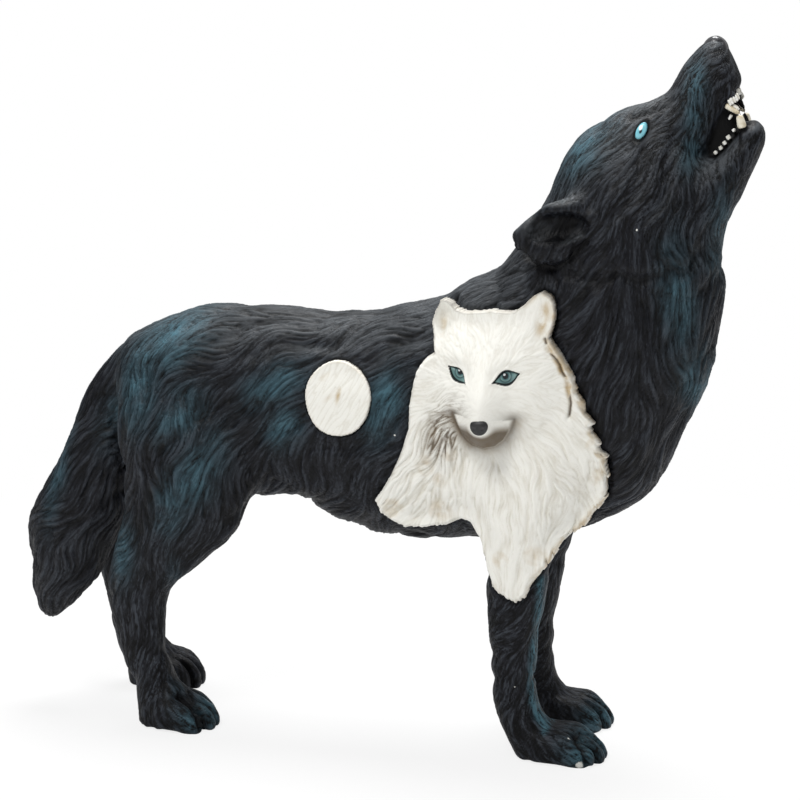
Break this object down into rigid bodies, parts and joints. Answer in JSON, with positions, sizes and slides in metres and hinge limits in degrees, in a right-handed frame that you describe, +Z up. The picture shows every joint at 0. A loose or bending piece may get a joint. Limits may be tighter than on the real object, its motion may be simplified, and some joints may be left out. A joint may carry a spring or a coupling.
{
  "type": "wolf figurine",
  "caption": "Standing howling wolf cast in one piece of resin, with carved fur, a white wolf bust and a full moon in relief on its right flank, on four flat soles.",
  "frame": {"origin": "middle of the figure's box at the plane of its soles", "axes": "+X from tail to head, +Z up; the right flank with the relief faces -Y"},
  "size_m": [0.187, 0.057, 0.1715],
  "materials": {
    "painted_resin": "matt black paint, dry-brushed grey on the hair tips with teal patches; the bust and the moon are off-white with tan in their hollows"
  },
  "bodies": {
    "root": {"wolf_figurine": "painted_resin"}
  },
  "joints": []
}
